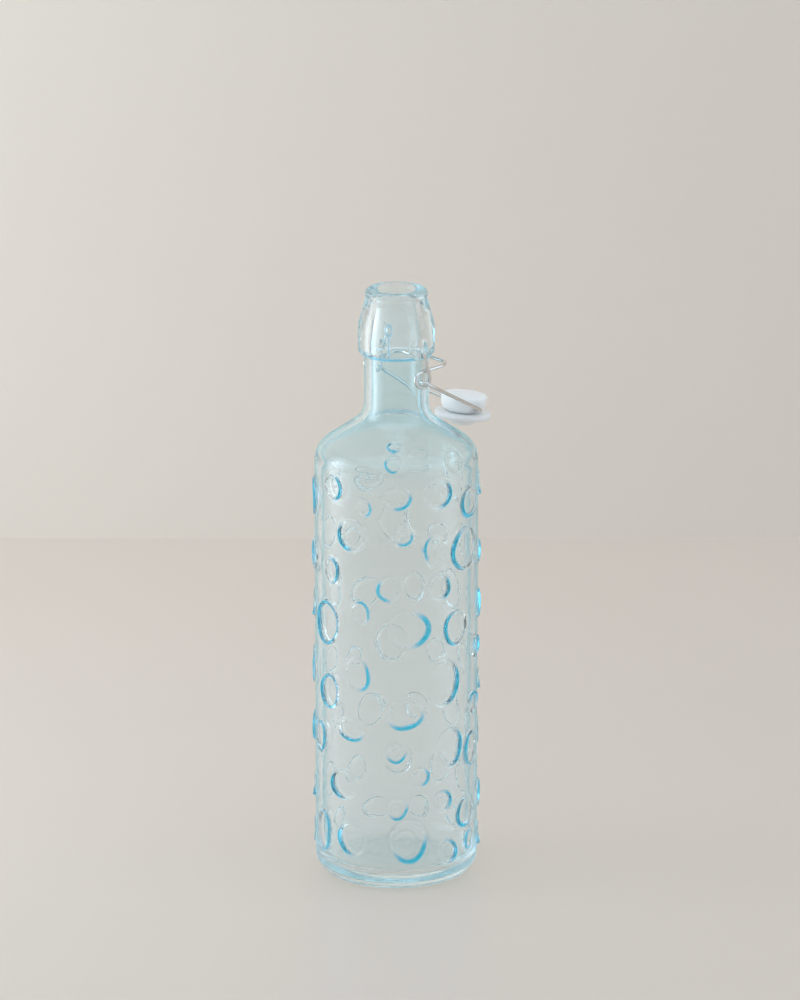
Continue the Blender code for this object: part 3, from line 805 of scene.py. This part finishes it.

# %% [markdown]
# Two scooped dimples surround the pin holes. Each is part of a ball pressed into the
# collar. A small raised loop with a stem is a mark of the mould. Both are the same kind
# of point moves as the bubbles, after the faces there are made smaller. The colour is
# deep along two more lines, at the collar's foot and inside the foot of the neck. The
# one inside the neck is partly its thicker glass and partly painted light, the aqua band
# that light bent through the far wall shows there.

# %% Dimples and mould mark
DIMPLE_RADIUS = 0.008
DIMPLE_DEPTH = 0.0026
DIMPLE_RIM_SHARE = 0.75
MARK_TURN = math.radians(-138.2)
MARK_HEIGHT = 0.0169
MARK_LONG = 0.0026
MARK_WIDE = 0.0016
MARK_LINE = 0.0004
MARK_RELIEF = 0.0005
MARK_STRENGTH = 0.8
FOOT_LINE = 0.001
FOOT_STRENGTH = 1.0
BORE_LINE = 0.0014
BORE_LINE_DROP = 0.003
BORE_STRENGTH = 0.7
COLLAR_SLACK = 0.0004

lip_top = max(range(len(top)), key=lambda index: top[index].z)
collar_side = [point for point in top[lip_top:] if point.z > COLLAR_FOOT + MERGE][::-1]
collar_z = [point.z for point in collar_side]
collar_r = [point.x for point in collar_side]


def on_collar(points):
    distance, _, height = wall_place(points)
    outer = distance > np.interp(height, collar_z, collar_r) - COLLAR_SLACK
    return (height > COLLAR_FOOT + MERGE) & (height < lip_foot) & outer


def from_pin(around, height):
    """Distance from the nearer pin, along the collar."""
    aside = (abs(around) - math.pi / 2) * COLLAR_RADIUS
    return np.hypot(aside, height - PIVOT.z)


def mark_lines(around, height):
    """How far each point is from the mark's loop or stem."""
    aside = ((around - MARK_TURN + math.pi) % math.tau - math.pi) * COLLAR_RADIUS
    rise = height - COLLAR_FOOT - MARK_HEIGHT
    loop = abs(np.hypot(aside / MARK_WIDE, rise / MARK_LONG) - 1) * MARK_WIDE
    stem = np.where(rise < -MARK_LONG, abs(aside), MARK_LONG)
    return np.minimum(loop, stem)


def collar_detail(centres):
    _, around, height = wall_place(centres)
    rim = abs(from_pin(around, height) - DIMPLE_RADIUS * DIMPLE_RIM_SHARE) < DIMPLE_DEPTH
    return on_collar(centres) & (rim | (mark_lines(around, height) < 3 * MARK_LINE))


def mark_detail(centres):
    _, around, height = wall_place(centres)
    return on_collar(centres) & (mark_lines(around, height) < 2 * MARK_LINE)


def soft_line(away_from, width):
    """1 on a line and fading to 0 beside it."""
    return np.exp(-(away_from / width) ** 2)


refine(glass, collar_detail)
refine(glass, mark_detail)
points = read_points(glass)
distance, around, height = wall_place(points)
ball = np.sqrt(np.maximum(DIMPLE_RADIUS ** 2 - from_pin(around, height) ** 2, 0))
scoop = np.maximum(ball - (DIMPLE_RADIUS - DIMPLE_DEPTH), 0)
mark = soft_line(mark_lines(around, height), MARK_LINE)
foot_line = soft_line(height - COLLAR_FOOT - FOOT_LINE, FOOT_LINE)
# The band inside the neck's foot: partly thicker glass, partly painted light bent through the far
# wall
bore_band_and_refraction = soft_line(height - NECK_CORNER + BORE_LINE_DROP, BORE_LINE)
in_bore = distance < NECK_RADIUS - NECK_WALL / 4
moved = np.where(on_collar(points), MARK_RELIEF * mark - scoop, 0)
points[:, 0] = np.cos(around) * (distance + moved)
points[:, 1] = np.sin(around) * (distance + moved)
crescents = glass.data.attributes["crescents"]
deep = np.empty(len(points))
crescents.data.foreach_get("value", deep)
deep = np.where(in_bore, BORE_STRENGTH * bore_band_and_refraction, deep)
collar_deep = np.maximum(MARK_STRENGTH * mark, FOOT_STRENGTH * foot_line)
crescents.data.foreach_set("value", np.where(on_collar(points), collar_deep, deep))
write_points(glass, points)
select_only(glass)
bpy.ops.object.shade_smooth()
triangles = sum(len(face.vertices) - 2 for face in glass.data.polygons)
print("glass triangles:", triangles)

# %% [markdown]
# Glass of this kind isn't one colour. It is pale aqua, and deeper round the thick neck.
# It turns aqua where one looks along the wall. It is deep aqua on the crescents, which
# the relief's attribute gives, and those of the far wall, seen from their backs, stay
# clear. That deep aqua is partly the thicker glass of each rim and partly painted shade,
# the dark aqua of light trapped in the rim. One flat tint would look like tinted plastic.

# %% Tints of the glass
PALE_AQUA = (0.92, 0.983, 1, 1)
NECK_AQUA = (0.842, 0.968, 1, 1)
# How much of the neck's tint there is, from the base (0) to the lip (1)
NECK_LEVELS = ((0, 0), (0.66, 0), (0.76, 1), (0.87, 1), (0.90, 0.15), (1, 0.15))
EDGE_AQUA = (0.05, 0.70, 1, 1)
EDGE_FADE = (0.58, 0.90)
EDGE_FOOT = (0.003, 0.018)
EDGE_FOOT_SHARE = 0.35
# The crescents' deep aqua: partly the rims' thicker glass, partly painted shade
DEEP_AQUA = (0.001, 0.53, 1, 1)
DEEP_SCALE = 420
DEEP_GRAIN = (0.35, 0.60)
DEEP_LEAST = 0.96


def neck_share(tree, height):
    """How much of the neck's deeper tint there is at a height."""
    return ramped(tree, rescaled(tree, height, 0, BOTTLE_HEIGHT), NECK_LEVELS, kind="EASE")


def edge_share(tree, height):
    """How aqua the edges are: full where one looks along the wall, and less at the foot."""
    grazing = add_node(tree, "LayerWeight").outputs["Facing"]
    edge = rescaled(tree, grazing, *EDGE_FADE, kind="SMOOTHSTEP")
    return computed(tree, "MULTIPLY", edge, rescaled(tree, height, *EDGE_FOOT, EDGE_FOOT_SHARE))


def crescent_share(tree):
    """How deep the crescents' partly painted shade is: on the near side of the wall only, and a
    little uneven.
    """
    places = add_node(tree, "Attribute", attribute_name="crescents").outputs["Fac"]
    from_behind = add_node(tree, "NewGeometry").outputs["Backfacing"]
    near = computed(tree, "MULTIPLY", places, computed(tree, "SUBTRACT", 1, from_behind))
    grain = rescaled(tree, noise(tree, DEEP_SCALE), *DEEP_GRAIN, DEEP_LEAST)
    return computed(tree, "MULTIPLY", near, grain)


aqua, aqua_tree, aqua_shader = new_material("aqua_glass_moulded")
up_bottle = add_node(aqua_tree, "SeparateXYZ", {"Vector": object_place(aqua_tree)}).outputs["Z"]
tint = mixed(aqua_tree, neck_share(aqua_tree, up_bottle), PALE_AQUA, NECK_AQUA)
tint = mixed(aqua_tree, edge_share(aqua_tree, up_bottle), tint, EDGE_AQUA)
tint = mixed(aqua_tree, crescent_share(aqua_tree), tint, DEEP_AQUA)
print("nodes so far:", len(aqua_tree.nodes))

# %% [markdown]
# Clear glass needs a surface that bends light and a body that absorbs it. The surface is
# tinted, has fine ripples, and lets nearly all light through, with a trace of milkiness.
# The body takes a little red away with every centimetre. Shadow rays pass straight
# through, so that the table gets a soft, pale shadow as under real glass. A plain glass
# shader would cast a dark one.

# %% Glass material
GLASS_BODY = (0.06, 0.92, 0.995, 1)
GLASS_DENSITY = 1
GLASS_CLEAR = 0.98
GLASS_IOR = 1.5
RIPPLE_SCALE = 70
RIPPLE_DEPTH = 0.00012
SHADOW_TINT = (0.935, 0.945, 0.94, 1)

ripple = {"Height": noise(aqua_tree, RIPPLE_SCALE), "Distance": RIPPLE_DEPTH}
feed(aqua_tree, aqua_shader, {
    "Base Color": tint,
    "Roughness": 0,
    "IOR": GLASS_IOR,
    "Transmission Weight": GLASS_CLEAR,
    "Normal": add_node(aqua_tree, "Bump", ripple).outputs["Normal"],
})
body = add_node(aqua_tree, "VolumeAbsorption", {"Color": GLASS_BODY, "Density": GLASS_DENSITY})
feed(aqua_tree, aqua_tree.nodes["Material Output"], {"Volume": body.outputs["Volume"]})
rays = add_node(aqua_tree, "LightPath").outputs
soft_ray = computed(aqua_tree, "MAXIMUM", rays["Is Shadow Ray"], rays["Is Diffuse Ray"])
clear = add_node(aqua_tree, "BsdfTransparent", {"Color": SHADOW_TINT})
surface_mix(aqua_tree, soft_ray, aqua_shader, clear)
glass.data.materials.append(aqua)
print("the glass material has", len(aqua_tree.nodes), "nodes")

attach(glass, "bottle")
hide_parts("glass_bottle")

# %% [markdown]
# Each wire is one bent length of round steel. Its route is straight runs and bends, as
# a wire bender sets them. The vertex trace becomes a curve, the curve gets the wire's
# thickness and closed ends, and the result becomes a mesh.

# %% Wire routes
WIRE_GAP = 0.0003
WIRE_BEND = 0.0022
COLLAR_SIDE_GAP = 0.00045
COLLAR_TIP_GAP = 0.0005
NECK_TIP_GAP = 0.00105
FINGER_CORNER = 0.0065
EYE_DROP = 0.0157
EYE_RADIUS = 0.0039
EYE_PIN_OVERHANG = 0.001
BAIL_LENGTH = 0.050
BAIL_SHOULDER = 0.006
BAIL_SHOULDER_ROUND = 0.008
BAIL_HEAD_ROUND = 0.006
BAIL_HEAD_LENGTH = 0.0055
BAIL_SIDE_GAP = 0.0019
BAIL_HEAD_TAPER = 0.0021
GASKET_RADIUS = 0.0148
WIRE_STEP = 0.004
WIRE_SIDES = 20
SMOOTH_ANGLE = math.radians(50)
EYE_STEPS = 30

WIRE_PITCH = 2 * WIRE_RADIUS + WIRE_GAP
LEVER_SPREAD = COLLAR_RADIUS + COLLAR_SIDE_GAP + WIRE_RADIUS
LEVER_SHANK = LEVER_SPREAD + WIRE_PITCH
FINGER_REACH = COLLAR_RADIUS + COLLAR_TIP_GAP + WIRE_RADIUS
FINGER_X = NECK_RADIUS + NECK_TIP_GAP + WIRE_RADIUS
FINGER_DROP = math.sqrt(FINGER_REACH ** 2 - FINGER_X ** 2)
BAIL_SPREAD = LEVER_SHANK + WIRE_PITCH
BAIL_PIN_END = LEVER_SPREAD - WIRE_RADIUS - EYE_PIN_OVERHANG
BAIL_HEAD_SPREAD = GASKET_RADIUS + WIRE_RADIUS + BAIL_SIDE_GAP

joint_place = {joint["name"]: Vector(joint["pos_m"]) for joint in frame["joints"]}
EYE_PIN = joint_place["bail_pivot"]
HEAD_PLACE = joint_place["stopper_pivot"]
bail_run = HEAD_PLACE - EYE_PIN
BAIL_ANGLE = -math.atan2(bail_run.z, bail_run.x)


def lever_half(side):
    """From the pin in the collar, down to the eye, round it, and out to the finger loop."""
    eye = Vector((0, 0, -EYE_DROP))
    shank_turn = math.pi / 2 - math.acos(EYE_RADIUS / EYE_DROP)
    tip = Vector((FINGER_X, 0, EYE_DROP - FINGER_DROP))
    tip_turn = math.atan2(tip.z, tip.x) + math.acos(EYE_RADIUS / tip.length)
    sweep = math.tau - tip_turn + shank_turn
    loop = []
    for step in range(EYE_STEPS + 1):
        share = step / EYE_STEPS
        angle = shank_turn - sweep * share
        out = LEVER_SHANK + (LEVER_SPREAD - LEVER_SHANK) * share
        round_eye = Vector((math.cos(angle), 0, math.sin(angle))) * EYE_RADIUS
        loop.append(eye + round_eye + Vector((0, side * out, 0)))
    shank = rounded([
        (Vector((0, side * pin_end, 0)), 0),
        (Vector((0, side * LEVER_SHANK, 0)), WIRE_BEND),
        (loop[0], 0),
    ], WIRE_STEP)
    finger = rounded([
        (loop[-1], 0),
        (Vector((FINGER_X, side * LEVER_SPREAD, -FINGER_DROP)), FINGER_CORNER),
        (Vector((FINGER_X, 0, -FINGER_DROP)), 0),
    ], WIRE_STEP)
    return shank[:-1] + loop + finger[1:]


def bail_half(side):
    """From the pin in the lever's eye, along the arm, and into the stopper."""
    return rounded([
        (Vector((0, side * BAIL_PIN_END, 0)), 0),
        (Vector((0, side * BAIL_SPREAD, 0)), WIRE_BEND),
        (Vector((BAIL_SHOULDER, side * BAIL_SPREAD, 0)), BAIL_SHOULDER_ROUND),
        (Vector((BAIL_LENGTH - BAIL_HEAD_LENGTH, side * BAIL_HEAD_SPREAD, 0)), BAIL_HEAD_ROUND),
        (Vector((BAIL_LENGTH, side * (BAIL_HEAD_SPREAD - BAIL_HEAD_TAPER), 0)), WIRE_BEND),
        (Vector((BAIL_LENGTH, 0, 0)), 0),
    ], WIRE_STEP)


def bent_wire(name, half, place, turn):
    """A round wire through both mirrored halves, turned about Y and set at its pivot."""
    route = half(-1) + half(1)[-2::-1]
    made = trace(name, route)
    made.location = place
    made.rotation_euler.y = turn
    bpy.ops.object.transform_apply(location=True, rotation=True, scale=True)
    bpy.ops.object.convert(target="CURVE")
    made.data.bevel_depth = WIRE_RADIUS
    made.data.bevel_resolution = WIRE_SIDES // 2 - 2
    made.data.use_fill_caps = True
    bpy.ops.object.convert(target="MESH")
    bpy.ops.object.mode_set(mode="EDIT")
    close_up()
    bpy.ops.object.shade_smooth_by_angle(angle=SMOOTH_ANGLE)
    length = sum((after - before).length for before, after in zip(route, route[1:]))
    print(name, "uses", round(length, 3), "m of wire,", len(made.data.polygons), "faces")
    return made


print("eyes at", [round(value, 4) for value in EYE_PIN])

# %% [markdown]
# The wire is bright drawn steel with a little dullness. Fine noise varies how sharp the
# shine is and how grey the metal. One flat grey would look like painted wire.

# %% Steel and the two wires
STEEL_DARK = (0.58, 0.58, 0.56, 1)
STEEL_LIGHT = (0.87, 0.87, 0.85, 1)
STEEL_GRAIN = 900
STEEL_DETAIL = 4
STEEL_ROUGH = (0.03, 0.12)

steel, steel_tree, steel_shader = new_material("drawn_steel")
grain = noise(steel_tree, STEEL_GRAIN, STEEL_DETAIL)
feed(steel_tree, steel_shader, {
    "Metallic": 1,
    "Base Color": mixed(steel_tree, grain, STEEL_DARK, STEEL_LIGHT),
    "Roughness": rescaled(steel_tree, grain, 0, 1, *STEEL_ROUGH),
})

lever = bent_wire("lever_wire_round", lever_half, PIVOT, 0)
lever.data.materials.append(steel)
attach(lever, "lever")
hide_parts("lever_wire")

bail = bent_wire("bail_wire_round", bail_half, EYE_PIN, BAIL_ANGLE)
bail.data.materials.append(steel)
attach(bail, "bail")
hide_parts("bail_wire")

# %% [markdown]
# The stopper is a turned plastic knob with a cross hole for the wire, and a stem and
# nose that hold the seal ring. It hangs over the shoulder, tilted a few degrees.

# %% Stopper and seal ring
HEAD_RADIUS = 0.0122
HEAD_TOP = 0.013
HEAD_DOME = 0.0008
HEAD_EDGE_ROUND = 0.0014
HEAD_WAIST_RADIUS = 0.0116
HEAD_WAIST_HEIGHT = 0.0056
HEAD_BELLY_ROUND = 0.005
HEAD_SEAT_RADIUS = 0.0088
HOLE_HEIGHT = 0.0065
STEM_RADIUS = 0.005
NOSE_RADIUS = 0.0064
NOSE_LENGTH = 0.0038
NOSE_ROUND = 0.0018
GASKET_THICKNESS = 0.003
GASKET_EDGE_ROUND = 0.0012
SEAT_GAP = 0.0003
SMALL_ROUND = 0.0004
STOPPER_TILT = math.radians(6)
STOPPER_COLUMNS = 96

seat = GASKET_THICKNESS + SEAT_GAP - HOLE_HEIGHT
nose_top = -SEAT_GAP - HOLE_HEIGHT
head_outline = outline([
    (0, HEAD_TOP - HOLE_HEIGHT, 0),
    (HEAD_RADIUS, HEAD_TOP - HEAD_DOME - HOLE_HEIGHT, HEAD_EDGE_ROUND),
    (HEAD_WAIST_RADIUS, HEAD_WAIST_HEIGHT - HOLE_HEIGHT, HEAD_BELLY_ROUND),
    (HEAD_SEAT_RADIUS, seat, SMALL_ROUND),
    (STEM_RADIUS, seat, SMALL_ROUND / 2),
    (STEM_RADIUS, nose_top, SMALL_ROUND / 2),
    (NOSE_RADIUS, nose_top, SMALL_ROUND),
    (NOSE_RADIUS, -NOSE_LENGTH - HOLE_HEIGHT, NOSE_ROUND),
    (0, -NOSE_LENGTH - HOLE_HEIGHT, 0),
], FINE)
gasket_top = GASKET_THICKNESS - HOLE_HEIGHT
gasket_bore = STEM_RADIUS + SEAT_GAP
half_thick = GASKET_THICKNESS / 2
gasket_outline = outline([
    (gasket_bore, gasket_top - half_thick, 0),
    (gasket_bore, gasket_top, SMALL_ROUND),
    (GASKET_RADIUS, gasket_top, GASKET_EDGE_ROUND),
    (GASKET_RADIUS, -HOLE_HEIGHT, GASKET_EDGE_ROUND),
    (gasket_bore, -HOLE_HEIGHT, SMALL_ROUND),
    (gasket_bore, gasket_top - half_thick, 0),
], FINE)


def set_in_place(made):
    """Tilts a stopper piece, sets it at the wire's end, and clears its object's transform."""
    select_only(made)
    made.location = HEAD_PLACE
    made.rotation_euler.y = STOPPER_TILT
    bpy.ops.object.transform_apply(location=True, rotation=True, scale=True)
    bpy.ops.object.shade_smooth_by_angle(angle=SMOOTH_ANGLE)


head = spun("stopper_knob", head_outline, STOPPER_COLUMNS)
reach = HEAD_RADIUS + FINE
subtract(head, drill(-reach, reach, Vector((0, 0, 0))))
set_in_place(head)
seal = spun("seal_ring", gasket_outline, STOPPER_COLUMNS)
set_in_place(seal)
print("knob and seal ring at", [round(value, 4) for value in HEAD_PLACE])

# %% [markdown]
# Both soft materials were moulded, so both have the same faint cloudiness and the same
# fine, uneven skin. That effect is one shader group. Light goes into the milky plastic
# and the silicone and comes out elsewhere, which subsurface scattering does.

# %% Moulded plastic and silicone
CLOUD_SCALE = 220
CLOUD_SHADE = 0.96
SKIN_SCALE = 1400
SKIN_DEPTH = 0.000005
GLOSS_UNEVEN = 0.15
MILKY_COLOUR = (0.915, 0.95, 0.96, 1)
MILKY_ROUGHNESS = 0.30
SILICONE_COLOUR = (0.96, 0.975, 0.965, 1)
SILICONE_ROUGHNESS = 0.35
SILICONE_CLEAR = 0.1
SOFT_REACH = 0.006
SOFT_REACH_SHARES = (0.9, 1, 1)

moulded, skin_in, skin_out = new_group(
    "moulded_skin",
    {"Colour": "Color", "Gloss": "Float"},
    {"Colour": "Color", "Roughness": "Float", "Normal": "Vector"},
)
cloud = noise(moulded, CLOUD_SCALE)
shade = rescaled(moulded, cloud, 0, 1, CLOUD_SHADE)
skin = {"Height": noise(moulded, SKIN_SCALE), "Distance": SKIN_DEPTH}
gloss = skin_in.outputs["Gloss"]
feed(moulded, skin_out, {
    "Colour": mixed(moulded, 1, skin_in.outputs["Colour"], shade, "MULTIPLY"),
    "Roughness": computed(moulded, "MULTIPLY_ADD", cloud, GLOSS_UNEVEN, gloss),
    "Normal": add_node(moulded, "Bump", skin).outputs["Normal"],
})


def soft_material(name, colour, roughness, clear):
    """A material that scatters light inside and lets some through, with the moulded skin."""
    material, tree, shader = new_material(name)
    finish = add_node(tree, "Group", {"Colour": colour, "Gloss": roughness}, node_tree=moulded)
    feed(tree, shader, {
        "Base Color": finish.outputs["Colour"],
        "Roughness": finish.outputs["Roughness"],
        "Normal": finish.outputs["Normal"],
        "Transmission Weight": clear,
        "Subsurface Weight": 1,
        "Subsurface Scale": SOFT_REACH,
        "Subsurface Radius": SOFT_REACH_SHARES,
    })
    return material


head.data.materials.append(soft_material("milky_plastic", MILKY_COLOUR, MILKY_ROUGHNESS, 0))
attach(head, "stopper")
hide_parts("stopper_head")
rubber = soft_material("pale_silicone_rubber", SILICONE_COLOUR, SILICONE_ROUGHNESS, SILICONE_CLEAR)
seal.data.materials.append(rubber)
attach(seal, "stopper")
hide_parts("gasket")
print("stopper and seal ring ride on the stopper body")
